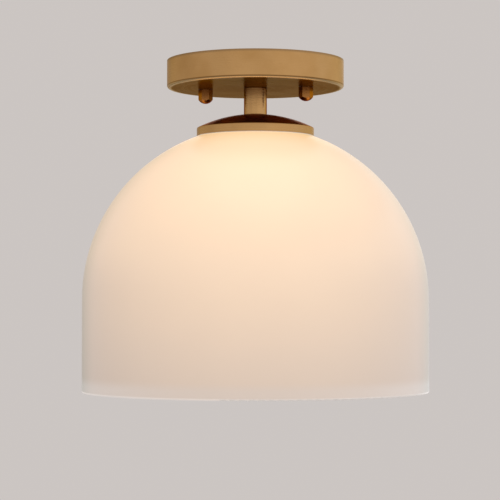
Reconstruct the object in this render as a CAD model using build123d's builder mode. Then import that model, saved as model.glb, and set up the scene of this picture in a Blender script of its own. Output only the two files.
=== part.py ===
from build123d import *
from math import acos, asin, cos, degrees, radians, sqrt, tan
import os

# Semi flush ceiling light: a shallow round canopy, a short stem, a domed shade cap and an
# opal glass shade that hangs below it, with the lamp holder and the bulb inside.
# Millimetres, +Z up. The origin is the middle of the mounting plane: the top face of the
# mounting bar and the canopy's rim both lie on the ceiling at Z = 0, and all else hangs below.
# The mounting bar and the two canopy screws lie along X.

os.makedirs("parts", exist_ok=True)

# ---------------------------------------------------------------- driving dimensions
# Canopy: a spun pan, open towards the ceiling
canopy_diameter = 152.4
canopy_depth = 23.6
canopy_wall = 1.2
canopy_edge_radius = 2.0
screw_spacing = 88.9

# Mounting bar, which is screwed to the outlet box through its two slots
bar_length = 106.0
bar_width = 19.0
bar_thickness = 2.4
bar_corner_radius = 6.0
box_slot_spacing = 69.85
box_slot_length = 8.0
box_slot_width = 4.8
ground_screw_x = -22.0
ground_screw_radius = 2.4
ground_head_radius = 4.4
ground_head_height = 2.2

# Canopy screws, their lock nuts, and the cap nuts under the canopy
screw_radius = 2.08
screw_root_radius = 1.68
screw_pitch = 0.8
screw_head_radius = 4.0
screw_head_angle = 82.0
screw_end_z = -31.5
drive_slot_width = 1.2
drive_slot_depth = 1.0
lock_nut_flats = 8.7
lock_nut_height = 3.2
cap_nut_flats = 10.8
cap_nut_height = 12.0
cap_nut_dome_radius = 7.2
cap_nut_bore_depth = 9.4
cap_nut_turn = 13.2

# Hollow threaded rod that ties the canopy, stem, shade cap and lamp holder together
rod_radius = 5.0
rod_root_radius = 4.4
rod_bore_radius = 3.3
rod_pitch = 1.0
rod_top_z = -15.0
rod_bottom_z = -57.0
rod_nut_flats = 14.0
rod_nut_height = 4.0
washer_radius = 8.2
washer_teeth = 12
washer_tooth_length = 2.4
washer_tooth_width = 2.2
washer_thickness = 1.0
bushing_flange_radius = 4.6
bushing_flange_height = 0.8
bushing_length = 6.0
bushing_wall = 0.5

# Stem between the canopy and the shade cap
stem_diameter = 19.8
stem_edge = 0.3

# Shade cap: a shallow dome with a short straight band
cap_diameter = 101.1
cap_wall = 1.2
cap_dome_radius = 112.0
cap_dome_top_z = -46.2
cap_band_bottom_z = -65.2
cap_edge_radius = 1.2
cap_seat_radius = 10.6

# Glass shade: a hemisphere that runs into a straight skirt
shade_radius = 148.5
shade_wall = 3.0
shade_centre_z = -205.4
shade_rim_z = -284.9
shade_hole_radius = 21.3
shade_hole_edge = 0.8

# Lamp holder: a cap on the threaded rod, and a body with an outside thread for the ring
socket_radius = 19.0
socket_thread_root = 18.2
socket_thread_pitch = 2.6
socket_top_z = -53.2
socket_seam_z = -62.0
socket_floor_top_z = -73.0
socket_floor_bottom_z = -80.0
socket_mouth_z = -105.0
socket_wall = 2.4
socket_top_radius = 3.5
socket_mouth_edge = 1.0
socket_cavity_radius = 15.0
shell_radius = 13.4
shell_groove_depth = 0.6
shell_sheet = 0.5
shell_opening_radius = 6.5
shell_end_z = -103.4
contact_width = 5.0
contact_length = 14.5
contact_foot = 7.0
contact_ramp = 3.0
contact_drop = 2.5
terminal_x = 9.0
terminal_notch = 8.0
terminal_head_radius = 3.0
terminal_head_height = 2.0
terminal_shank_radius = 1.6
rivet_head_radius = 2.5
rivet_head_height = 0.8

# Seals, and the ring that clamps the shade on the lamp holder
seal_inner_radius = 47.0
seal_top_z = -62.8
seal_fit = 0.05
ring_seal_inner_radius = 22.0
ring_seal_outer_radius = 26.5
ring_seal_bottom_z = -63.4
ring_flange_radius = 27.0
ring_flange_height = 2.4
ring_body_radius = 23.8
ring_height = 7.0
ring_notches = 18
ring_notch_radius = 1.3
ring_edge = 0.4

# Bulb, screw cap upwards
bulb_tip_z = -83.3
bulb_tip_radius = 4.8
bulb_tip_height = 2.0
bulb_tip_edge = 1.2
insulator_top_radius = 5.6
insulator_height = 3.2
bulb_cap_top_radius = 11.9
bulb_cap_hole_radius = 7.0
bulb_thread_radius = 13.05
bulb_thread_root = 12.5
bulb_thread_pitch = 3.6
bulb_thread_end_z = -106.5
bulb_cap_sheet = 0.5
bulb_collar_end_z = -110.5
bulb_neck_radius = 13.9
bulb_neck_top_z = -108.2
bulb_shoulder_radius = 40.0
bulb_radius = 30.0
bulb_bottom_z = -191.3
bulb_glass = 0.9

# Leads, their twist-on connectors and the crimp lugs of the ground lead
wire_radius = 1.1
wire_fit = 0.03
wire_offset = 1.35
wire_top_z = -9.4
connector_x = 14.0
connector_y = 31.0
connector_z = -15.8
connector_length = 22.0
connector_mouth_radius = 6.2
connector_end_radius = 4.2
connector_end_edge = 1.2
connector_skirt_depth = 5.0
connector_skirt_wall = 1.2
connector_ribs = 8
connector_rib_radius = 5.2
lug_sheet = 0.8
lug_tongue_width = 2.4
lug_barrel_radius = 1.75
lug_barrel_length = 5.4
lug_heading = 225.0

# Gaps: beside a thread that stays, round a thread that turns, and beside a face that turns
thread_gap = 0.03
running_gap = 0.06
turning_face_gap = 0.2
ring_face_gap = 0.3

# ---------------------------------------------------------------- places worked out
canopy_radius = canopy_diameter / 2
canopy_floor_z = -canopy_depth + canopy_wall
canopy_lug_z = canopy_floor_z + washer_thickness
canopy_nut_top_z = canopy_lug_z + lug_sheet + rod_nut_height
screws = [(-screw_spacing / 2, 0), (screw_spacing / 2, 0)]
terminals = [(-terminal_x, 0), (terminal_x, 0)]
rod_hole_radius = rod_radius + thread_gap

cap_radius = cap_diameter / 2
cap_inner_radius = cap_radius - cap_wall
cap_dome_inner_radius = cap_dome_radius - cap_wall
cap_dome_centre_z = cap_dome_top_z - cap_dome_radius
cap_seat_angle = degrees(acos(cap_seat_radius / cap_dome_radius))
cap_edge_angle = degrees(acos(cap_radius / cap_dome_radius))
cap_seat_z = cap_dome_centre_z + sqrt(cap_dome_radius**2 - cap_seat_radius**2)
cap_ceiling_z = cap_seat_z - cap_wall
cap_ceiling_angle = degrees(asin((cap_ceiling_z - cap_dome_centre_z) / cap_dome_inner_radius))
cap_inner_angle = degrees(acos(cap_inner_radius / cap_dome_inner_radius))

shade_inner_radius = shade_radius - shade_wall
shade_outer_angle = degrees(acos(shade_hole_radius / shade_radius))
shade_inner_angle = degrees(acos(shade_hole_radius / shade_inner_radius))
shade_rim_radius = shade_wall / 2

bulb_centre_z = bulb_bottom_z + bulb_radius
bulb_shoulder_x = bulb_neck_radius + bulb_shoulder_radius
bulb_neck_z = bulb_centre_z + sqrt((bulb_shoulder_radius + bulb_radius) ** 2 - bulb_shoulder_x**2)
bulb_shoulder_angle = degrees(asin((bulb_neck_z - bulb_centre_z) / (bulb_shoulder_radius + bulb_radius)))

ring_top_z = ring_seal_bottom_z - ring_face_gap


# ---------------------------------------------------------------- repeated forms
def thread_outline(crest, root, pitch, top_z, bottom_z):
    """Zigzag outline of a thread, from its top end down to its bottom end."""
    turns = round((top_z - bottom_z) / pitch)
    step = (top_z - bottom_z) / turns
    points = [(root, top_z)]
    for turn in range(turns):
        points.append((crest, top_z - (turn + 0.5) * step))
        points.append((root, top_z - (turn + 1) * step))
    return points


def hex_nut(flats, height, bore_radius, top_z):
    """A hexagon nut on the Z axis, with its corners trimmed at both ends."""
    corner_radius = flats / 2 / cos(radians(30))
    corner_drop = 0.06 * flats
    bottom_z = top_z - height
    with BuildPart() as nut:
        with BuildSketch(Plane.XY.offset(bottom_z)):
            RegularPolygon(flats / 2, 6, major_radius=False)
        extrude(amount=height)
        with BuildSketch(Plane.XZ):
            with BuildLine():
                Polyline(
                    (bore_radius, top_z),
                    (flats / 2, top_z),
                    (corner_radius, top_z - corner_drop),
                    (corner_radius, bottom_z + corner_drop),
                    (flats / 2, bottom_z),
                    (bore_radius, bottom_z),
                    close=True,
                )
            make_face()
        revolve(axis=Axis.Z, mode=Mode.INTERSECT)
    return nut


def toothed_washer(top_z):
    """A lock washer on the threaded rod, with teeth round its outside."""
    with BuildPart() as washer:
        with BuildSketch(Plane.XY.offset(top_z - washer_thickness)):
            Circle(washer_radius)
            with PolarLocations(washer_radius, washer_teeth):
                Rectangle(washer_tooth_length, washer_tooth_width)
            Circle(rod_hole_radius, mode=Mode.SUBTRACT)
        extrude(amount=washer_thickness)
    return washer


def cap_nut(screw_x):
    """A hexagon cap nut with a domed closed end, threaded on a canopy screw from below."""
    top_z = -canopy_depth - turning_face_gap
    bottom_z = top_z - cap_nut_height
    bore_end_z = top_z - cap_nut_bore_depth
    bore_radius = screw_radius + running_gap
    corner_radius = cap_nut_flats / 2 / cos(radians(30))
    dome_angle = degrees(acos(corner_radius / cap_nut_dome_radius))
    with BuildPart() as nut:
        with BuildSketch(Plane.XY.offset(bottom_z)):
            RegularPolygon(cap_nut_flats / 2, 6, major_radius=False, rotation=cap_nut_turn)
        extrude(amount=cap_nut_height)
        with BuildSketch(Plane.XZ):
            with BuildLine():
                dome_centre = (0, bottom_z + cap_nut_dome_radius)
                dome = CenterArc(dome_centre, cap_nut_dome_radius, -90, 90 - dome_angle)
                Polyline(
                    dome @ 1,
                    (corner_radius, top_z),
                    (bore_radius, top_z),
                    (bore_radius, bore_end_z),
                    (0, bore_end_z),
                    dome @ 0,
                )
            make_face()
        revolve(axis=Axis.Z, mode=Mode.INTERSECT)
    nut.part.position = (screw_x, 0, 0)
    return nut


def ring_lug(centre_x, hole_radius, ring_radius, sheet_z, barrel_z, barrel_start):
    """A crimp lug: a flat ring, a tongue, and a barrel that holds the end of the ground lead."""
    heading = Vector(1, 0, 0).rotate(Axis.Z, lug_heading)
    barrel_plane = Plane(origin=Vector(centre_x, 0, barrel_z) + heading * barrel_start, z_dir=heading)
    with BuildPart() as lug:
        with BuildSketch(Plane.XY.offset(sheet_z)):
            with Locations((centre_x, 0)):
                Circle(ring_radius)
                Rectangle(
                    barrel_start + lug_sheet,
                    lug_tongue_width,
                    rotation=lug_heading,
                    align=(Align.MIN, Align.CENTER),
                )
                Circle(hole_radius, mode=Mode.SUBTRACT)
        extrude(amount=lug_sheet)
        with BuildSketch(barrel_plane):
            Circle(lug_barrel_radius)
        extrude(amount=lug_barrel_length)
        with BuildSketch(barrel_plane.offset(lug_sheet)):
            Circle(wire_radius + wire_fit)
        extrude(amount=lug_barrel_length, mode=Mode.SUBTRACT)
    return lug


def corner_radii(route):
    """A radius for each corner of a lead, as large as the two runs beside it allow."""
    points = [Vector(*point) for point in route]
    radii = []
    for before, corner, after in zip(points, points[1:], points[2:]):
        shorter_run = min((corner - before).length, (after - corner).length)
        half_turn = radians((corner - before).get_angle(after - corner)) / 2
        radii.append(0.45 * shorter_run / tan(half_turn))
    return radii


def lead(route):
    """An insulated lead along straight runs joined by tangent arcs."""
    radii = corner_radii(route)
    print("lead corner radii:", [round(radius, 1) for radius in radii])
    with BuildPart() as insulated:
        with BuildLine() as path:
            FilletPolyline(*route, radius=radii)
        with BuildSketch(Plane(origin=path.line @ 0, z_dir=path.line % 0)):
            Circle(wire_radius)
        sweep(path=path.line)
    return insulated


def half_turned(route):
    """The same route on the other side of the Z axis."""
    return [(-x, -y, z) for x, y, z in route]


# ---------------------------------------------------------------- canopy
with BuildPart() as canopy:
    with BuildSketch(Plane.XZ):
        with BuildLine():
            Polyline(
                (rod_hole_radius, -canopy_depth),
                (canopy_radius, -canopy_depth),
                (canopy_radius, 0),
                (canopy_radius - canopy_wall, 0),
                (canopy_radius - canopy_wall, canopy_floor_z),
                (rod_hole_radius, canopy_floor_z),
                close=True,
            )
        make_face()
    revolve(axis=Axis.Z)
    rings = canopy.edges().filter_by(GeomType.CIRCLE)
    outer_rings = rings.group_by(SortBy.RADIUS)[-1]
    inner_rings = rings.group_by(SortBy.RADIUS)[-2]
    fillet(outer_rings.sort_by(Axis.Z)[0], canopy_edge_radius)
    fillet(inner_rings.sort_by(Axis.Z)[0], canopy_edge_radius - canopy_wall)
    with Locations(*[(x, y, canopy_floor_z) for x, y in screws]):
        Hole(screw_radius + running_gap)
canopy.part.label = "canopy"
export_step(canopy.part, "parts/canopy.step")

# ---------------------------------------------------------------- mounting bar
with BuildPart() as mounting_bar:
    with BuildSketch(Plane.XY.offset(-bar_thickness)):
        RectangleRounded(bar_length, bar_width, bar_corner_radius)
        with GridLocations(box_slot_spacing, 0, 2, 1):
            SlotOverall(box_slot_length, box_slot_width, mode=Mode.SUBTRACT)
        with Locations((ground_screw_x, 0)):
            Circle(ground_screw_radius + thread_gap, mode=Mode.SUBTRACT)
    extrude(amount=bar_thickness)
    with Locations(*screws):
        CounterSinkHole(
            screw_radius + thread_gap,
            screw_head_radius + thread_gap,
            counter_sink_angle=screw_head_angle,
        )
mounting_bar.part.label = "mounting_bar"
export_step(mounting_bar.part, "parts/mounting_bar.step")

# ---------------------------------------------------------------- canopy screws and nuts
screw_cone_z = (screw_radius - screw_head_radius) / tan(radians(screw_head_angle / 2))
with BuildPart() as canopy_screw:
    with BuildSketch(Plane.XZ):
        with BuildLine():
            Polyline(
                (0, 0),
                (screw_head_radius, 0),
                (screw_radius, screw_cone_z),
                (screw_radius, -bar_thickness),
                *thread_outline(screw_radius, screw_root_radius, screw_pitch, -bar_thickness, screw_end_z),
                (0, screw_end_z),
                close=True,
            )
        make_face()
    revolve(axis=Axis.Z)
    with Locations((0, 0, -drive_slot_depth / 2)):
        Box(2 * screw_head_radius, drive_slot_width, drive_slot_depth, mode=Mode.SUBTRACT)

with BuildPart() as canopy_screws:
    with Locations(*screws):
        add(canopy_screw.part)
canopy_screws.part.label = "canopy_screws"
export_step(canopy_screws.part, "parts/canopy_screws.step")

lock_nut = hex_nut(lock_nut_flats, lock_nut_height, screw_radius + thread_gap, -bar_thickness)
with BuildPart() as screw_lock_nuts:
    with Locations(*screws):
        add(lock_nut.part)
screw_lock_nuts.part.label = "screw_lock_nuts"
export_step(screw_lock_nuts.part, "parts/screw_lock_nuts.step")

left_cap_nut = cap_nut(-screw_spacing / 2)
left_cap_nut.part.label = "left_cap_nut"
export_step(left_cap_nut.part, "parts/left_cap_nut.step")

right_cap_nut = cap_nut(screw_spacing / 2)
right_cap_nut.part.label = "right_cap_nut"
export_step(right_cap_nut.part, "parts/right_cap_nut.step")

# ---------------------------------------------------------------- threaded rod and its fastenings
with BuildPart() as threaded_rod:
    with BuildSketch(Plane.XZ):
        with BuildLine():
            Polyline(
                (rod_bore_radius, rod_top_z),
                *thread_outline(rod_radius, rod_root_radius, rod_pitch, rod_top_z, rod_bottom_z),
                (rod_bore_radius, rod_bottom_z),
                close=True,
            )
        make_face()
    revolve(axis=Axis.Z)
threaded_rod.part.label = "threaded_rod"
export_step(threaded_rod.part, "parts/threaded_rod.step")

canopy_lock_washer = toothed_washer(canopy_lug_z)
canopy_lock_washer.part.label = "canopy_lock_washer"
export_step(canopy_lock_washer.part, "parts/canopy_lock_washer.step")

canopy_rod_nut = hex_nut(rod_nut_flats, rod_nut_height, rod_hole_radius, canopy_nut_top_z)
canopy_rod_nut.part.label = "canopy_rod_nut"
export_step(canopy_rod_nut.part, "parts/canopy_rod_nut.step")

cap_lock_washer = toothed_washer(cap_ceiling_z)
cap_lock_washer.part.label = "cap_lock_washer"
export_step(cap_lock_washer.part, "parts/cap_lock_washer.step")

cap_rod_nut = hex_nut(rod_nut_flats, rod_nut_height, rod_hole_radius, cap_ceiling_z - washer_thickness)
cap_rod_nut.part.label = "cap_rod_nut"
export_step(cap_rod_nut.part, "parts/cap_rod_nut.step")

# Plastic sleeve that keeps the leads off the rod's upper edge
with BuildPart() as rod_bushing:
    with BuildSketch(Plane.XY.offset(rod_top_z)):
        Circle(bushing_flange_radius)
    extrude(amount=bushing_flange_height)
    with BuildSketch(Plane.XY.offset(rod_top_z)):
        Circle(rod_bore_radius - thread_gap)
    extrude(amount=-bushing_length)
    with Locations((0, 0, rod_top_z + bushing_flange_height)):
        Hole(rod_bore_radius - thread_gap - bushing_wall)
    fillet(rod_bushing.edges().group_by(Axis.Z)[-1], bushing_flange_height / 3)
rod_bushing.part.label = "rod_bushing"
export_step(rod_bushing.part, "parts/rod_bushing.step")

# ---------------------------------------------------------------- stem
with BuildPart() as stem:
    with BuildSketch(Plane.XY.offset(cap_seat_z)):
        Circle(stem_diameter / 2)
        Circle(rod_hole_radius, mode=Mode.SUBTRACT)
    extrude(amount=-canopy_depth - cap_seat_z)
    chamfer(stem.edges().filter_by(GeomType.CIRCLE).group_by(SortBy.RADIUS)[-1], stem_edge)
stem.part.label = "stem"
export_step(stem.part, "parts/stem.step")

# ---------------------------------------------------------------- shade cap
with BuildPart() as shade_cap:
    with BuildSketch(Plane.XZ):
        with BuildLine():
            dome_centre = (0, cap_dome_centre_z)
            outer_dome = CenterArc(
                dome_centre, cap_dome_radius, cap_edge_angle, cap_seat_angle - cap_edge_angle
            )
            inner_dome = CenterArc(
                dome_centre, cap_dome_inner_radius, cap_inner_angle, cap_ceiling_angle - cap_inner_angle
            )
            Polyline(
                outer_dome @ 0,
                (cap_radius, cap_band_bottom_z),
                (cap_inner_radius, cap_band_bottom_z),
                inner_dome @ 0,
            )
            Polyline(
                outer_dome @ 1,
                (rod_hole_radius, cap_seat_z),
                (rod_hole_radius, cap_ceiling_z),
                inner_dome @ 1,
            )
        make_face()
    revolve(axis=Axis.Z)
    cap_rings = shade_cap.edges().filter_by(GeomType.CIRCLE).filter_by(Plane.XY)
    band_rings = cap_rings.group_by(SortBy.RADIUS)[-1]
    fillet(band_rings.sort_by(Axis.Z)[-1], cap_edge_radius)
shade_cap.part.label = "shade_cap"
export_step(shade_cap.part, "parts/shade_cap.step")

# ---------------------------------------------------------------- glass shade
with BuildPart() as glass_shade:
    with BuildSketch(Plane.XZ):
        with BuildLine():
            shade_centre = (0, shade_centre_z)
            outer_wall = CenterArc(shade_centre, shade_radius, 0, shade_outer_angle)
            inner_wall = CenterArc(shade_centre, shade_inner_radius, 0, shade_inner_angle)
            rim_centre = (shade_radius - shade_rim_radius, shade_rim_z + shade_rim_radius)
            rim = CenterArc(rim_centre, shade_rim_radius, 180, 180)
            Line(outer_wall @ 0, rim @ 1)
            Line(inner_wall @ 0, rim @ 0)
            Line(outer_wall @ 1, inner_wall @ 1)
        make_face()
    revolve(axis=Axis.Z)
    shade_rings = glass_shade.edges().filter_by(GeomType.CIRCLE).filter_by(Plane.XY)
    fillet(shade_rings.group_by(SortBy.RADIUS)[0], shade_hole_edge)
glass_shade.part.label = "glass_shade"
export_step(glass_shade.part, "parts/glass_shade.step")

# ---------------------------------------------------------------- seals and clamping ring
# Soft edge strip between the shade cap's band and the glass: its underside lies on the glass
with BuildPart() as shade_seal:
    with BuildSketch(Plane.XZ):
        with BuildLine():
            Polyline(
                (seal_inner_radius, seal_top_z),
                (cap_inner_radius - seal_fit, seal_top_z),
                (cap_inner_radius - seal_fit, cap_band_bottom_z),
                (cap_radius - seal_fit, cap_band_bottom_z),
                (cap_radius - seal_fit, cap_band_bottom_z - shade_wall),
                (seal_inner_radius, cap_band_bottom_z - shade_wall),
                close=True,
            )
        make_face()
    revolve(axis=Axis.Z)
    with Locations((0, 0, shade_centre_z)):
        Sphere(shade_radius, mode=Mode.SUBTRACT)
shade_seal.part.label = "shade_seal"
export_step(shade_seal.part, "parts/shade_seal.step")

# Flat seal between the ring and the glass: its upper side follows the inside of the glass
with BuildPart() as ring_seal:
    with BuildSketch(Plane.XY.offset(ring_seal_bottom_z)):
        Circle(ring_seal_outer_radius)
        Circle(ring_seal_inner_radius, mode=Mode.SUBTRACT)
    extrude(amount=shade_wall)
    with Locations((0, 0, shade_centre_z)):
        Sphere(shade_inner_radius, mode=Mode.INTERSECT)
ring_seal.part.label = "ring_seal"
export_step(ring_seal.part, "parts/ring_seal.step")

with BuildPart() as shade_ring:
    with BuildSketch(Plane.XY.offset(ring_top_z)):
        Circle(ring_flange_radius)
    extrude(amount=-ring_flange_height)
    with BuildSketch(Plane.XY.offset(ring_top_z)):
        Circle(ring_body_radius)
    extrude(amount=-ring_height)
    chamfer(shade_ring.edges().filter_by(GeomType.CIRCLE).group_by(SortBy.RADIUS)[-1], ring_edge)
    chamfer(shade_ring.edges().group_by(Axis.Z)[0], ring_edge)
    with BuildSketch(Plane.XY.offset(ring_top_z - ring_height)):
        with PolarLocations(ring_body_radius, ring_notches):
            Circle(ring_notch_radius)
    extrude(amount=ring_height - ring_flange_height, mode=Mode.SUBTRACT)
    with Locations((0, 0, ring_top_z)):
        Hole(socket_radius + running_gap)
shade_ring.part.label = "shade_ring"
export_step(shade_ring.part, "parts/shade_ring.step")

# ---------------------------------------------------------------- lamp holder
with BuildPart() as socket_cap:
    with BuildSketch(Plane.XY.offset(socket_seam_z)):
        Circle(socket_radius)
    extrude(amount=socket_top_z - socket_seam_z)
    fillet(socket_cap.edges().group_by(Axis.Z)[-1], socket_top_radius)
    with BuildSketch(Plane.XY.offset(socket_seam_z)):
        Circle(socket_radius - socket_wall)
    extrude(amount=socket_top_z - socket_wall - socket_seam_z, mode=Mode.SUBTRACT)
    with Locations((0, 0, socket_top_z)):
        Hole(rod_hole_radius)
socket_cap.part.label = "socket_cap"
export_step(socket_cap.part, "parts/socket_cap.step")

with BuildPart() as socket_body:
    with BuildSketch(Plane.XZ):
        with BuildLine():
            thread_end_z = socket_mouth_z + 2 * socket_mouth_edge
            Polyline(
                (socket_radius - socket_wall, socket_seam_z),
                *thread_outline(
                    socket_radius, socket_thread_root, socket_thread_pitch, socket_seam_z, thread_end_z
                ),
                (socket_thread_root, socket_mouth_z + socket_mouth_edge),
                (socket_thread_root - socket_mouth_edge, socket_mouth_z),
                (socket_cavity_radius + socket_mouth_edge / 2, socket_mouth_z),
                (socket_cavity_radius, socket_mouth_z + socket_mouth_edge / 2),
                (socket_cavity_radius, socket_floor_bottom_z),
                (0, socket_floor_bottom_z),
                (0, socket_floor_top_z),
                (socket_radius - socket_wall, socket_floor_top_z),
                close=True,
            )
        make_face()
    revolve(axis=Axis.Z)
    with Locations(*[(x, y, socket_floor_top_z) for x, y in terminals]):
        Hole(terminal_shank_radius + thread_gap)
socket_body.part.label = "socket_body"
export_step(socket_body.part, "parts/socket_body.step")

# Rolled metal shell that takes the bulb's thread, hung from the neutral terminal at -X
with BuildPart() as screw_shell:
    with BuildSketch(Plane.XZ):
        with BuildLine():
            wall_top_z = socket_floor_bottom_z - shell_sheet
            inner_side = thread_outline(
                shell_radius + shell_groove_depth, shell_radius, bulb_thread_pitch, wall_top_z, shell_end_z
            )
            outer_side = [(radius + shell_sheet, z) for radius, z in inner_side]
            Polyline(
                (shell_opening_radius, socket_floor_bottom_z),
                (shell_radius + shell_sheet, socket_floor_bottom_z),
                *outer_side,
                *reversed(inner_side),
                (shell_opening_radius, wall_top_z),
                close=True,
            )
        make_face()
    revolve(axis=Axis.Z)
    with Locations((-terminal_x, 0, socket_floor_bottom_z)):
        Hole(terminal_shank_radius + thread_gap, depth=2 * shell_sheet)
    with Locations((terminal_x, 0, socket_floor_bottom_z)):
        Box(terminal_notch, terminal_notch, 2.4 * shell_sheet, mode=Mode.SUBTRACT)
screw_shell.part.label = "screw_shell"
export_step(screw_shell.part, "parts/screw_shell.step")

# Bent spring strip from the live terminal at +X to the middle, just above the bulb's tip
with BuildPart() as centre_contact:
    foot_end_x = terminal_x + contact_foot / 2
    with BuildSketch(Plane.XZ):
        with BuildLine():
            upper_side = [
                (foot_end_x, socket_floor_bottom_z),
                (foot_end_x - contact_foot, socket_floor_bottom_z),
                (foot_end_x - contact_foot - contact_ramp, socket_floor_bottom_z - contact_drop),
                (foot_end_x - contact_length, socket_floor_bottom_z - contact_drop),
            ]
            lower_side = [(x, z - shell_sheet) for x, z in upper_side]
            Polyline(*upper_side, *reversed(lower_side), close=True)
        make_face()
    extrude(amount=contact_width / 2, both=True)
    with Locations((terminal_x, 0, socket_floor_bottom_z)):
        Hole(terminal_shank_radius + thread_gap, depth=2 * shell_sheet)
centre_contact.part.label = "centre_contact"
export_step(centre_contact.part, "parts/centre_contact.step")

with BuildPart() as terminal_screws:
    with BuildSketch(Plane.XY.offset(socket_floor_top_z)):
        with Locations(*terminals):
            Circle(terminal_head_radius)
    extrude(amount=terminal_head_height)
    with BuildSketch(Plane.XY.offset(socket_floor_top_z)):
        with Locations(*terminals):
            Circle(terminal_shank_radius)
    extrude(amount=socket_floor_bottom_z - shell_sheet - socket_floor_top_z)
    with BuildSketch(Plane.XY.offset(socket_floor_bottom_z - shell_sheet)):
        with Locations(*terminals):
            Circle(rivet_head_radius)
    extrude(amount=-rivet_head_height)
terminal_screws.part.label = "terminal_screws"
export_step(terminal_screws.part, "parts/terminal_screws.step")

# ---------------------------------------------------------------- bulb
insulator_top_z = bulb_tip_z - bulb_tip_height
bulb_cap_top_z = insulator_top_z - insulator_height

with BuildPart() as bulb_tip:
    with BuildSketch(Plane.XY.offset(insulator_top_z)):
        Circle(bulb_tip_radius)
    extrude(amount=bulb_tip_height)
    fillet(bulb_tip.edges().group_by(Axis.Z)[-1], bulb_tip_edge)
bulb_tip.part.label = "bulb_tip"
export_step(bulb_tip.part, "parts/bulb_tip.step")

with BuildPart() as bulb_insulator:
    with BuildSketch(Plane.XZ):
        with BuildLine():
            Polyline(
                (0, insulator_top_z),
                (insulator_top_radius, insulator_top_z),
                (bulb_cap_top_radius, bulb_cap_top_z),
                (0, bulb_cap_top_z),
                close=True,
            )
        make_face()
    revolve(axis=Axis.Z)
bulb_insulator.part.label = "bulb_insulator"
export_step(bulb_insulator.part, "parts/bulb_insulator.step")

# Rolled sheet cap: its top is turned inwards under the insulator, and its collar holds the neck
with BuildPart() as bulb_screw_cap:
    with BuildSketch(Plane.XZ):
        with BuildLine():
            cap_inside = bulb_thread_root - bulb_cap_sheet
            collar_radius = bulb_neck_radius + bulb_cap_sheet
            Polyline(
                (bulb_cap_hole_radius, bulb_cap_top_z),
                *thread_outline(
                    bulb_thread_radius, bulb_thread_root, bulb_thread_pitch, bulb_cap_top_z, bulb_thread_end_z
                ),
                (collar_radius, bulb_thread_end_z - 2 * bulb_cap_sheet),
                (collar_radius, bulb_collar_end_z),
                (bulb_neck_radius, bulb_collar_end_z),
                (bulb_neck_radius, bulb_neck_top_z),
                (cap_inside, bulb_thread_end_z - bulb_cap_sheet),
                (cap_inside, bulb_cap_top_z - bulb_cap_sheet),
                (bulb_cap_hole_radius, bulb_cap_top_z - bulb_cap_sheet),
                close=True,
            )
        make_face()
    revolve(axis=Axis.Z)
bulb_screw_cap.part.label = "bulb_screw_cap"
export_step(bulb_screw_cap.part, "parts/bulb_screw_cap.step")

with BuildPart() as bulb_envelope:
    with BuildSketch(Plane.XZ):
        with BuildLine():
            shoulder_centre = (bulb_shoulder_x, bulb_neck_z)
            bulb_centre = (0, bulb_centre_z)
            globe_sweep = -90 - bulb_shoulder_angle
            ends = []
            for inset in (0, bulb_glass):
                shoulder = CenterArc(
                    shoulder_centre, bulb_shoulder_radius + inset, 180, bulb_shoulder_angle
                )
                globe = CenterArc(bulb_centre, bulb_radius - inset, bulb_shoulder_angle, globe_sweep)
                neck_top = (bulb_neck_radius - inset, bulb_neck_top_z)
                Line(neck_top, shoulder @ 0)
                ends.append((neck_top, globe @ 1))
            Line(ends[0][0], ends[1][0])
            Line(ends[0][1], ends[1][1])
        make_face()
    revolve(axis=Axis.Z)
bulb_envelope.part.label = "bulb_envelope"
export_step(bulb_envelope.part, "parts/bulb_envelope.step")

# ---------------------------------------------------------------- leads and connectors
# The live lead runs from its terminal up the rod, over the canopy's floor and into a connector
wire_end_x = -connector_x - connector_skirt_depth
live_route = [
    (terminal_x, 0, socket_floor_top_z + terminal_head_height),
    (terminal_x, 0, -66.8),
    (wire_offset, 0, -61.4),
    (wire_offset, 0, wire_top_z),
    (wire_offset, 15.0, wire_top_z),
    (wire_offset, connector_y, connector_z),
    (wire_end_x, connector_y, connector_z),
]
live_lead = lead(live_route)
live_lead.part.label = "live_lead"
export_step(live_lead.part, "parts/live_lead.step")

neutral_lead = lead(half_turned(live_route))
neutral_lead.part.label = "neutral_lead"
export_step(neutral_lead.part, "parts/neutral_lead.step")

with BuildPart() as connector:
    mouth = Plane(origin=(-connector_x, connector_y, connector_z), z_dir=(-1, 0, 0))
    with BuildSketch(mouth):
        Circle(connector_mouth_radius)
    with BuildSketch(mouth.offset(connector_length)):
        Circle(connector_end_radius)
    loft()
    fillet(connector.edges().group_by(Axis.X)[0], connector_end_edge)
    with BuildSketch(mouth):
        with PolarLocations(connector_rib_radius, connector_ribs):
            Rectangle(connector_skirt_wall, connector_skirt_wall)
    extrude(amount=connector_length - 2 * connector_end_edge)
    with BuildSketch(mouth):
        Circle(connector_mouth_radius - connector_skirt_wall)
    extrude(amount=connector_skirt_depth, mode=Mode.SUBTRACT)

with BuildPart() as wire_connectors:
    add(connector.part)
    add(connector.part, rotation=(0, 0, 180))
wire_connectors.part.label = "wire_connectors"
export_step(wire_connectors.part, "parts/wire_connectors.step")

# ---------------------------------------------------------------- ground connection
canopy_lug_start = washer_radius + washer_tooth_length / 2 + 0.2
bar_lug_start = ground_head_radius + 1.1
canopy_barrel_z = canopy_lug_z + lug_barrel_radius - 0.25
bar_barrel_z = -bar_thickness - lug_barrel_radius - 0.15

canopy_ground_lug = ring_lug(
    0, rod_hole_radius, washer_radius, canopy_lug_z, canopy_barrel_z, canopy_lug_start
)
canopy_ground_lug.part.label = "canopy_ground_lug"
export_step(canopy_ground_lug.part, "parts/canopy_ground_lug.step")

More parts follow.
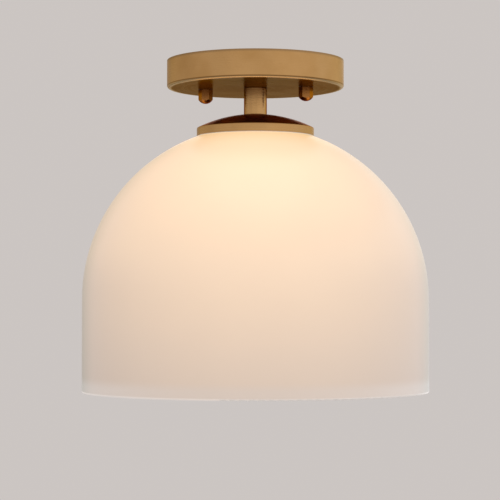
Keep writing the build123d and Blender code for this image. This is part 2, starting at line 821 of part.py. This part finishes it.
bar_ground_lug = ring_lug(
    ground_screw_x,
    ground_screw_radius + thread_gap,
    ground_head_radius,
    -bar_thickness - lug_sheet,
    bar_barrel_z,
    bar_lug_start,
)
bar_ground_lug.part.label = "bar_ground_lug"
export_step(bar_ground_lug.part, "parts/bar_ground_lug.step")

with BuildPart() as ground_screw:
    with BuildSketch(Plane.XY.offset(-bar_thickness - lug_sheet)):
        with Locations((ground_screw_x, 0)):
            RegularPolygon(ground_head_radius, 6)
    extrude(amount=-ground_head_height)
    with BuildSketch(Plane.XY.offset(-bar_thickness - lug_sheet)):
        with Locations((ground_screw_x, 0)):
            Circle(ground_screw_radius)
    extrude(amount=bar_thickness + lug_sheet)
    with Locations((ground_screw_x, 0, -bar_thickness - lug_sheet - ground_head_height)):
        Box(
            2 * ground_head_radius,
            drive_slot_width,
            drive_slot_depth,
            align=(Align.CENTER, Align.CENTER, Align.MIN),
            mode=Mode.SUBTRACT,
        )
ground_screw.part.label = "ground_screw"
export_step(ground_screw.part, "parts/ground_screw.step")

heading = Vector(1, 0, 0).rotate(Axis.Z, lug_heading)
canopy_lug_mouth = Vector(0, 0, canopy_barrel_z) + heading * (canopy_lug_start + lug_sheet)
bar_lug_mouth = Vector(ground_screw_x, 0, bar_barrel_z) + heading * (bar_lug_start + lug_sheet)
ground_lead = lead(
    [
        tuple(canopy_lug_mouth),
        tuple(canopy_lug_mouth + heading * 14),
        (-21.0, -32.0, -18.6),
        (-35.0, -33.5, -12.0),
        tuple(bar_lug_mouth + heading * 19),
        tuple(bar_lug_mouth),
    ]
)
ground_lead.part.label = "ground_lead"
export_step(ground_lead.part, "parts/ground_lead.step")
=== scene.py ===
import math

import bpy
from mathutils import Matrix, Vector

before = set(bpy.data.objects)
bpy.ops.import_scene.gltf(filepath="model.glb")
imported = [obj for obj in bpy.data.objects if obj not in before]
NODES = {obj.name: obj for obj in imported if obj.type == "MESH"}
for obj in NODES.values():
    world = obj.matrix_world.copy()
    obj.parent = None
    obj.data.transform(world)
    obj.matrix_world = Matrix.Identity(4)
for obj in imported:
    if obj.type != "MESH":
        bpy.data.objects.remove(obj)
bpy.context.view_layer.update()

MM = 0.001


def reach(name):
    """The lowest and the highest corner of a CAD piece, in the coordinates that its material uses."""
    axes = list(zip(*NODES[name].bound_box))
    return Vector([min(axis) for axis in axes]), Vector([max(axis) for axis in axes])


# Places on the light that the materials follow. The bulb's light comes from the middle of its glass
CANOPY_LOW, CANOPY_HIGH = reach("canopy")
SHADE_LOW, SHADE_HIGH = reach("glass_shade")
BULB_LOW, BULB_HIGH = reach("bulb_envelope")
CEILING = CANOPY_HIGH.z
CANOPY_FLOOR = CANOPY_LOW.z
CANOPY_RADIUS = CANOPY_HIGH.x
CAP_DOME_EDGE = reach("shade_cap")[0].z + 6.7 * MM
SHADE_RIM = SHADE_LOW.z
SHADE_TOP = SHADE_HIGH.z
BULB_NECK = BULB_HIGH.z - 1.8 * MM
LIGHT_HEIGHT = BULB_LOW.z + 41.3 * MM
LIGHT_CENTRE = (0.0, 0.0, LIGHT_HEIGHT)

# Brass: the metal's own colour, its deeper patches, and what it turns to where it is seen edge on
BRASS = (0.47, 0.275, 0.11)
DEEP_BRASS = (0.42, 0.235, 0.085)
PALE_EDGE = (0.80, 0.70, 0.52)
# The stem's edge tint is a painted dark reflection
STEM_DARK_REFLECTION = (0.26, 0.11, 0.01)
# The nuts' darker, redder brass and edge tint are partly their own colour and partly a painted dark
# reflection
NUT_BRASS_AND_REFLECTION = (0.35, 0.155, 0.045)
DEEP_NUT_BRASS_AND_REFLECTION = (0.29, 0.12, 0.03)
NUT_EDGE_REFLECTION = (0.40, 0.17, 0.05)

# The other metals and the plastics: name, colour, roughness, and the CAD pieces that wear them
METALS = (
    ("bar_steel", (0.60, 0.61, 0.60), 0.36, ["mounting_bar"]),
    ("screw_steel", (0.60, 0.55, 0.42), 0.32, ["canopy_screws", "screw_lock_nuts"]),
    ("rod_steel", (0.58, 0.58, 0.56), 0.34,
     ["threaded_rod", "canopy_lock_washer", "canopy_rod_nut", "cap_lock_washer", "cap_rod_nut"]),
    ("shell_metal", (0.76, 0.75, 0.72), 0.28, ["screw_shell"]),
    ("contact_brass", (0.62, 0.46, 0.20), 0.30, ["centre_contact", "terminal_screws"]),
    ("lug_copper", (0.66, 0.63, 0.58), 0.30, ["canopy_ground_lug", "bar_ground_lug"]),
    ("ground_green", (0.04, 0.30, 0.10), 0.35, ["ground_screw"]),
    ("bulb_metal", (0.78, 0.78, 0.77), 0.30, ["bulb_screw_cap"]),
    ("bulb_solder", (0.60, 0.60, 0.58), 0.40, ["bulb_tip"]),
)
PLASTICS = (
    ("bushing_plastic", (0.04, 0.04, 0.04), 0.45, ["rod_bushing"]),
    ("clear_seal", (0.72, 0.70, 0.66), 0.50, ["shade_seal", "ring_seal"]),
    ("ring_plastic", (0.82, 0.80, 0.76), 0.30, ["shade_ring"]),
    ("holder_plastic", (0.82, 0.80, 0.76), 0.30, ["socket_cap", "socket_body"]),
    ("lead_black", (0.02, 0.02, 0.02), 0.42, ["live_lead"]),
    ("lead_white", (0.75, 0.74, 0.71), 0.42, ["neutral_lead"]),
    ("lead_green", (0.02, 0.18, 0.05), 0.42, ["ground_lead"]),
    ("connector_plastic", (0.72, 0.20, 0.03), 0.35, ["wire_connectors"]),
    ("bulb_insulator", (0.015, 0.015, 0.015), 0.20, ["bulb_insulator"]),
)

# The camera, fitted to the ellipses of the canopy, the shade cap and the shade's rim
CAMERA_AZIMUTH = math.radians(13.2)
CAMERA_DISTANCE = 1.4995
CAMERA_HEIGHT = -0.2097
CAMERA_TILT = math.radians(1.78)
CAMERA_LENS = 125.5
SENSOR = 36.0
IMAGE_SIZE = 500
AXIS_PIXEL = 255.4

# The studio
FLOOR_HEIGHT = -2.6
FLOOR_RADIUS = 24.0
FLOOR_SIDES = 96
FLOOR_TONE = (0.80, 0.79, 0.77)
FLOOR_PATCHES = (0.77, 0.76, 0.74)
FADE_START, FADE_END = 5.0, 15.0
BACKGROUND = (0.60, 0.56, 0.54)
AMBIENT = (0.57, 0.555, 0.545)
WHITE, COOL, BLACK = (1.0, 1.0, 1.0), (0.92, 1.0, 1.10), (0.0, 0.0, 0.0)
LAMP_TARGET = Vector((0.0, 0.0, -0.14))
# The soft lights stand in a ring: azimuth in degrees, radiance and colour
SOFTBOXES = (
    (-100.0, 0.14, WHITE),
    (-45.0, 0.24, WHITE),
    (10.0, 0.36, WHITE),
    (65.0, 0.44, WHITE),
    (120.0, 0.46, COOL),
    (175.0, 0.36, COOL),
)


# ---------------------------------------------------------------- node building
class Shader:
    """A node material with one Principled shader, and short ways to add texture nodes."""

    def __init__(self, name, colour, roughness, metallic=0.0):
        self.material = bpy.data.materials.new(name)
        self.material.use_nodes = True
        self.tree = self.material.node_tree
        self.tree.nodes.clear()
        output = self.add("ShaderNodeOutputMaterial")
        self.bsdf = self.add("ShaderNodeBsdfPrincipled")
        self.link(self.bsdf.outputs[0], output.inputs["Surface"])
        self.set("Base Color", (*colour, 1.0))
        self.set("Roughness", roughness)
        self.set("Metallic", metallic)
        coordinates = self.add("ShaderNodeTexCoord").outputs
        self.place = coordinates["Object"]
        self.normal = coordinates["Normal"]

    def add(self, kind, **settings):
        node = self.tree.nodes.new(kind)
        for key, value in settings.items():
            setattr(node, key, value)
        return node

    def link(self, source, target):
        self.tree.links.new(source, target)

    def set(self, socket, value):
        """Gives a socket of the Principled shader a plain value."""
        self.bsdf.inputs[socket].default_value = value

    def drive(self, socket, source):
        """Feeds a socket of the Principled shader from another node."""
        self.link(source, self.bsdf.inputs[socket])

    def feed(self, node, socket, value):
        """Links the socket to value if that is another node's output, or else sets it to value."""
        if isinstance(value, bpy.types.NodeSocket):
            self.link(value, node.inputs[socket])
        else:
            node.inputs[socket].default_value = value

    def math(self, operation, first, second=0.0):
        node = self.add("ShaderNodeMath", operation=operation)
        self.feed(node, 0, first)
        self.feed(node, 1, second)
        return node.outputs[0]

    def product(self, first, second):
        return self.math("MULTIPLY", first, second)

    def vector(self, operation, first, second=(0.0, 0.0, 0.0)):
        node = self.add("ShaderNodeVectorMath", operation=operation)
        self.feed(node, 0, first)
        self.feed(node, 1, second)
        return node.outputs["Value" if operation in ("LENGTH", "DOT_PRODUCT") else "Vector"]

    def scale(self, colour, factor):
        node = self.add("ShaderNodeVectorMath", operation="SCALE")
        node.inputs[0].default_value = colour
        self.link(factor, node.inputs["Scale"])
        return node.outputs[0]

    def split(self):
        """The place's x, y and z."""
        node = self.add("ShaderNodeSeparateXYZ")
        self.link(self.place, node.inputs[0])
        return node.outputs

    def join(self, x, y, z):
        node = self.add("ShaderNodeCombineXYZ")
        for index, value in enumerate((x, y, z)):
            self.feed(node, index, value)
        return node.outputs[0]

    def ramp(self, value, low, high, to_low=0.0, to_high=1.0, kind="SMOOTHSTEP"):
        node = self.add("ShaderNodeMapRange", interpolation_type=kind)
        self.feed(node, "Value", value)
        self.feed(node, "From Min", low)
        self.feed(node, "From Max", high)
        self.feed(node, "To Min", to_low)
        self.feed(node, "To Max", to_high)
        return node.outputs["Result"]

    def noise(self, scale, detail=3.0, vector=None):
        node = self.add("ShaderNodeTexNoise")
        self.link(vector or self.place, node.inputs["Vector"])
        node.inputs["Scale"].default_value = scale
        node.inputs["Detail"].default_value = detail
        node.inputs["Roughness"].default_value = 0.55
        return node.outputs["Fac"]

    def mix(self, share, first, second):
        """Goes from the first colour to the second. The node's colours are inputs 6 and 7, and output 2."""
        node = self.add("ShaderNodeMix", data_type="RGBA")
        self.feed(node, 0, share)
        for socket, colour in ((6, first), (7, second)):
            self.feed(node, socket, colour if isinstance(colour, bpy.types.NodeSocket) else (*colour, 1.0))
        return node.outputs[2]

    def around_axis(self, centre_x=0.0):
        """Radius and height about a vertical axis: lines of equal value run round a turned piece."""
        x, y, z = self.split()
        across = self.math("SUBTRACT", x, centre_x)
        squares = self.math("ADD", self.product(across, across), self.product(y, y))
        return self.math("SQRT", squares), z

    def bump(self, height, strength, distance):
        node = self.add("ShaderNodeBump")
        node.inputs["Strength"].default_value = strength
        node.inputs["Distance"].default_value = distance
        self.link(height, node.inputs["Height"])
        self.drive("Normal", node.outputs[0])


def dress(material, *nodes):
    """Gives CAD nodes this material."""
    for name in nodes:
        mesh = NODES[name].data
        mesh.materials.clear()
        mesh.materials.append(material)


# ---------------------------------------------------------------- metals
class SpunBrass(Shader):
    """Satin brushed brass with fine lines round the axis on which it was turned."""

    def __init__(self, name, colour, deep, roughness, edge, centre_x=0.0):
        super().__init__(name, colour, roughness, metallic=1.0)
        self.set("Specular Tint", (*edge, 1.0))
        self.radius, self.height = self.around_axis(centre_x)
        lines = self.noise(scale=2600.0, detail=2.0, vector=self.join(self.radius, self.height, 0.0))
        clouds = self.noise(scale=28.0, detail=4.0)
        self.tone = self.mix(self.ramp(clouds, 0.3, 0.7), colour, deep)
        self.drive("Base Color", self.tone)
        wear = self.math("ADD", lines, self.product(clouds, 0.5))
        self.drive("Roughness", self.ramp(wear, 0.4, 1.1, roughness - 0.05, roughness + 0.07))
        self.bump(lines, strength=0.08, distance=0.2 * MM)


def canopy_brass():
    """Brass with a painted shadow line at the ceiling, a painted highlight on the bottom lip with a painted
    dark reflection line above it, and painted shade on the underside.
    """
    painted_ceiling_shadow, painted_dark_reflection_line, painted_lip_highlight = (0.30, 0.18, 0.08), (0.22, 0.11, 0.035), (0.50, 0.36, 0.20)
    painted_underside_shade, shaded_underside_tint = (0.24, 0.138, 0.022), (0.36, 0.22, 0.0)
    s = SpunBrass("canopy_brass", BRASS, DEEP_BRASS, roughness=0.30, edge=PALE_EDGE)
    above_floor = s.math("SUBTRACT", s.height, CANOPY_FLOOR)
    from_side = s.math("SUBTRACT", CANOPY_RADIUS, s.radius)
    inner = s.ramp(from_side, 1.7 * MM, 4.7 * MM)
    # Painted shade: the underside is darker, both in its colour and in the tint of its reflections
    underside_shade_mask = s.product(s.ramp(above_floor, 0.8 * MM, 0.2 * MM), inner)
    # Painted dark reflection: a thin dark line just above the bottom lip
    dark_reflection_mask = s.product(s.ramp(above_floor, 2.4 * MM, 1.8 * MM), s.ramp(above_floor, 1.0 * MM, 1.6 * MM))
    # Painted highlight: a pale line along the rounded bottom lip
    lip_highlight_mask = s.product(s.ramp(above_floor, 1.3 * MM, 0.7 * MM), s.ramp(from_side, 2.4 * MM, 1.6 * MM))
    # Painted shadow: a dark line along the top edge, where the canopy meets the ceiling
    ceiling_shadow_mask = s.ramp(s.height, CEILING - 2.6 * MM, CEILING - 0.6 * MM)
    tone = s.mix(ceiling_shadow_mask, s.tone, painted_ceiling_shadow)
    tone = s.mix(underside_shade_mask, tone, painted_underside_shade)
    tone = s.mix(dark_reflection_mask, tone, painted_dark_reflection_line)
    s.drive("Base Color", s.mix(lip_highlight_mask, tone, painted_lip_highlight))
    s.drive("Specular Tint", s.mix(underside_shade_mask, PALE_EDGE, shaded_underside_tint))
    return s.material


def cap_brass():
    """Brass with a painted dark reflection on its dome, seen edge on, as dark as the canopy's underside
    that it mirrors.
    """
    painted_dome_reflection = (0.56, 0.24, 0.09)
    s = SpunBrass("cap_brass", BRASS, DEEP_BRASS, roughness=0.26, edge=PALE_EDGE)
    # Painted reflection: the dome's edge tint is dark, as if it mirrored the canopy's underside
    dome_reflection_mask = s.ramp(s.height, CAP_DOME_EDGE - 0.7 * MM, CAP_DOME_EDGE + 0.7 * MM)
    s.drive("Specular Tint", s.mix(dome_reflection_mask, PALE_EDGE, painted_dome_reflection))
    return s.material


def stem_brass():
    """Brass with a painted dark reflection where the stem turns away from the viewer."""
    s = SpunBrass("stem_brass", BRASS, DEEP_BRASS, roughness=0.24, edge=STEM_DARK_REFLECTION)
    return s.material


def nut_brass(nut):
    """Darker, redder brass, partly the nut's own colour and partly a painted dark reflection, turned round
    the nut's own axis.
    """
    low, high = reach(nut)
    centre_x = (low.x + high.x) / 2
    s = SpunBrass(nut, NUT_BRASS_AND_REFLECTION, DEEP_NUT_BRASS_AND_REFLECTION, roughness=0.22, edge=NUT_EDGE_REFLECTION, centre_x=centre_x)
    return s.material


def plated_metal(name, colour, roughness):
    """Plating with faint crystals and small scratches."""
    s = Shader(name, colour, roughness, metallic=1.0)
    crystals = s.noise(scale=900.0, detail=2.0)
    darker = tuple(0.78 * c for c in colour)
    s.drive("Base Color", s.mix(s.ramp(crystals, 0.35, 0.65), colour, darker))
    scratches = s.noise(scale=260.0)
    s.drive("Roughness", s.ramp(scratches, 0.3, 0.7, roughness - 0.06, roughness + 0.1))
    s.bump(crystals, strength=0.08, distance=0.2 * MM)
    return s.material


# ---------------------------------------------------------------- plastics, rubber and glass
def moulded(name, colour, roughness):
    """Moulded plastic or rubber: a slightly uneven skin and tone."""
    grain = 700.0
    s = Shader(name, colour, roughness)
    darker = tuple(0.9 * c for c in colour)
    s.drive("Base Color", s.mix(s.ramp(s.noise(scale=60.0), 0.3, 0.7), colour, darker))
    s.drive("Roughness", s.ramp(s.noise(scale=grain), 0.3, 0.7, roughness - 0.05, roughness + 0.07))
    s.bump(s.noise(scale=grain, detail=2.0), strength=0.06, distance=0.3 * MM)
    return s.material


def glow_through(s, z, facing, fall, band):
    """How much of the bulb's light is painted on the wall of the glass, as emission."""
    # Glass seen edge on has more wall in the way, so its painted glow is dimmer
    face_on = 1.10
    painted_edge_dimming = s.ramp(z, SHADE_RIM + 84.9 * MM, SHADE_RIM + 124.9 * MM, 0.17, 0.40)
    shine = s.ramp(facing, 0.0, 1.0, face_on, painted_edge_dimming, "LINEAR")
    cloud = s.ramp(s.noise(scale=14.0), 0.3, 0.7, 0.98, 1.02)
    dimmed_at_rim = s.math("SUBTRACT", cloud, s.product(band, 0.30))
    # A painted extra glow near the neck
    neck = s.ramp(z, SHADE_TOP - 26.4 * MM, SHADE_TOP - 9.4 * MM, 0.0, 0.12)
    return s.math("ADD", s.product(s.product(fall, shine), dimmed_at_rim), neck)


def opal_glass():
    """White glass with the bulb's light painted on as emission: strongest at the top, where it is nearest.
    """
    outside, inside, painted_edge_dimming = (0.72, 0.63, 0.585), (0.80, 0.75, 0.69), (0.54, 0.52, 0.46)
    bulb_light, inner_light, room_light = (1.0, 0.62, 0.26), (0.56, 0.43, 0.30), (0.10, 0.115, 0.125)
    cut_edge = (SHADE_RIM + 2.1 * MM, SHADE_RIM + 1.1 * MM)
    s = Shader("opal_glass", outside, roughness=0.28)
    s.set("IOR", 1.45)
    z = s.split()[2]
    # The bulb's light is 1 at the full distance, and falls by e with each further fall distance
    full_distance, fall_distance = 100.0 * MM, 53.0 * MM
    from_bulb = s.vector("SUBTRACT", s.place, LIGHT_CENTRE)
    short_of_full = s.math("SUBTRACT", full_distance, s.vector("LENGTH", from_bulb))
    fall = s.math("POWER", math.e, s.math("DIVIDE", short_of_full, fall_distance))
    # The cut edge never counts as seen quite edge on, or its facets would show as dashes
    weight = s.add("ShaderNodeLayerWeight")
    weight.inputs["Blend"].default_value = 0.5
    facing = s.math("MINIMUM", weight.outputs["Facing"], s.ramp(z, *cut_edge, 1.0, 0.45))
    # Near the rim, the room's light is painted on and the bulb's painted glow is dimmed
    band = s.ramp(z, SHADE_RIM + 14.9 * MM, SHADE_RIM + 5.9 * MM)
    from_room = s.product(band, s.ramp(facing, 0.02, 0.40, 0.35, 0.7, "LINEAR"))
    warm = s.scale(bulb_light, glow_through(s, z, facing, fall, band))
    # A pale painted highlight runs along the cut edge
    pale = s.scale(room_light, s.math("ADD", from_room, s.ramp(z, *cut_edge)))
    # The inner face looks back at the bulb, and is painted with a white glow rather than the glow through
    # the glass
    inner = s.ramp(s.vector("DOT_PRODUCT", s.normal, from_bulb), 10.0 * MM, -10.0 * MM)
    s.drive("Emission Color", s.mix(inner, s.vector("ADD", warm, pale), s.scale(inner_light, fall)))
    s.set("Emission Strength", 1.0)
    # Painted shade: the glass's colour is darker where it is seen edge on
    tone = s.mix(s.ramp(facing, 0.60, 0.97), outside, painted_edge_dimming)
    s.drive("Base Color", s.mix(inner, tone, inside))
    return s.material


def bulb_glass():
    """Frosted glass, lit evenly below the neck."""
    frosted, glow = (0.82, 0.76, 0.66), (1.0, 0.82, 0.55)
    s = Shader("bulb_glass", frosted, roughness=0.35)
    s.set("Emission Color", (*glow, 1.0))
    s.drive("Emission Strength", s.ramp(s.split()[2], BULB_NECK, LIGHT_HEIGHT, 0.15, 0.45))
    return s.material


# ---------------------------------------------------------------- studio
def add_floor():
    """A large round pale floor far below, as in a room, that fades into the background."""
    turns = [2 * math.pi * side / FLOOR_SIDES for side in range(FLOOR_SIDES)]
    ring = [(FLOOR_RADIUS * math.cos(turn), FLOOR_RADIUS * math.sin(turn), FLOOR_HEIGHT) for turn in turns]
    mesh = bpy.data.meshes.new("floor")
    mesh.from_pydata(ring, [], [list(range(FLOOR_SIDES))])
    floor = bpy.data.objects.new("floor", mesh)
    bpy.context.scene.collection.objects.link(floor)
    s = Shader("floor", FLOOR_TONE, roughness=0.9)
    radius = s.around_axis()[0]
    fade = s.ramp(radius, FADE_START, FADE_END)
    pale = s.mix(s.noise(scale=0.7), FLOOR_TONE, FLOOR_PATCHES)
    s.drive("Base Color", s.mix(fade, pale, BLACK))
    s.drive("Specular IOR Level", s.ramp(radius, FADE_START, FADE_END, 0.5, 0.0))
    s.drive("Emission Strength", fade)
    s.set("Emission Color", (*BACKGROUND, 1.0))
    mesh.materials.append(s.material)


def add_world():
    """Soft light from all round. Camera, mirror and glass rays see the pale background."""
    world = bpy.data.worlds.new("studio")
    bpy.context.scene.world = world
    world.use_nodes = True
    nodes, links = world.node_tree.nodes, world.node_tree.links
    nodes.clear()
    rays = nodes.new("ShaderNodeLightPath").outputs
    seen = rays["Is Camera Ray"]
    for kind in ("Is Glossy Ray", "Is Transmission Ray"):
        either = nodes.new("ShaderNodeMath")
        either.operation = "MAXIMUM"
        links.new(seen, either.inputs[0])
        links.new(rays[kind], either.inputs[1])
        seen = either.outputs[0]
    mix = nodes.new("ShaderNodeMixShader")
    links.new(seen, mix.inputs[0])
    for socket, colour in ((1, AMBIENT), (2, BACKGROUND)):
        background = nodes.new("ShaderNodeBackground")
        background.inputs["Color"].default_value = (*colour, 1.0)
        links.new(background.outputs[0], mix.inputs[socket])
    links.new(mix.outputs[0], nodes.new("ShaderNodeOutputWorld").inputs["Surface"])


def add_softbox(name, azimuth, elevation, distance, width, height, radiance, colour=WHITE):
    """A large soft light that faces the object. Azimuth 0 is in front, on the -Y side."""
    data = bpy.data.lights.new(name, "AREA")
    data.color = colour
    data.shape = "RECTANGLE"
    data.size = width
    data.size_y = height
    data.energy = radiance * math.pi * width * height
    lamp = bpy.data.objects.new(name, data)
    around, up = math.radians(azimuth), math.radians(elevation)
    away = Vector((math.sin(around) * math.cos(up), -math.cos(around) * math.cos(up), math.sin(up)))
    lamp.location = LAMP_TARGET + distance * away
    lamp.rotation_mode = "QUATERNION"
    lamp.rotation_quaternion = away.to_track_quat("Z", "Y")
    lamp.visible_camera = False
    bpy.context.scene.collection.objects.link(lamp)


def add_lights():
    """The ring of soft lights, and one above."""
    for number, (azimuth, radiance, colour) in enumerate(SOFTBOXES):
        add_softbox(f"softbox_{number}", azimuth, elevation=6.0, distance=2.4, width=2.5, height=2.0,
                    radiance=radiance, colour=colour)
    add_softbox("top", azimuth=20.0, elevation=78.0, distance=2.2, width=1.8, height=1.8, radiance=0.45)


def add_camera():
    """The photograph's camera. It turns a little to put the light's axis where the photograph has it."""
    data = bpy.data.cameras.new("camera")
    data.lens = CAMERA_LENS
    data.sensor_width = SENSOR
    camera = bpy.data.objects.new("camera", data)
    away = Vector((math.sin(CAMERA_AZIMUTH), -math.cos(CAMERA_AZIMUTH), 0.0))
    camera.location = CAMERA_DISTANCE * away + Vector((0.0, 0.0, CAMERA_HEIGHT))
    turn = math.atan((AXIS_PIXEL - IMAGE_SIZE / 2) / IMAGE_SIZE * SENSOR / CAMERA_LENS)
    camera.rotation_euler = (math.pi / 2 + CAMERA_TILT, 0.0, CAMERA_AZIMUTH + turn)
    bpy.context.scene.collection.objects.link(camera)
    bpy.context.scene.camera = camera


# ---------------------------------------------------------------- the scene
dress(canopy_brass(), "canopy")
dress(cap_brass(), "shade_cap")
dress(stem_brass(), "stem")
for nut in ("left_cap_nut", "right_cap_nut"):
    dress(nut_brass(nut), nut)
for name, colour, roughness, pieces in METALS:
    dress(plated_metal(name, colour, roughness), *pieces)
for name, colour, roughness, pieces in PLASTICS:
    dress(moulded(name, colour, roughness), *pieces)
dress(opal_glass(), "glass_shade")
dress(bulb_glass(), "bulb_envelope")

add_floor()
add_world()
add_lights()
add_camera()
bpy.context.scene.view_settings.view_transform = "Standard"
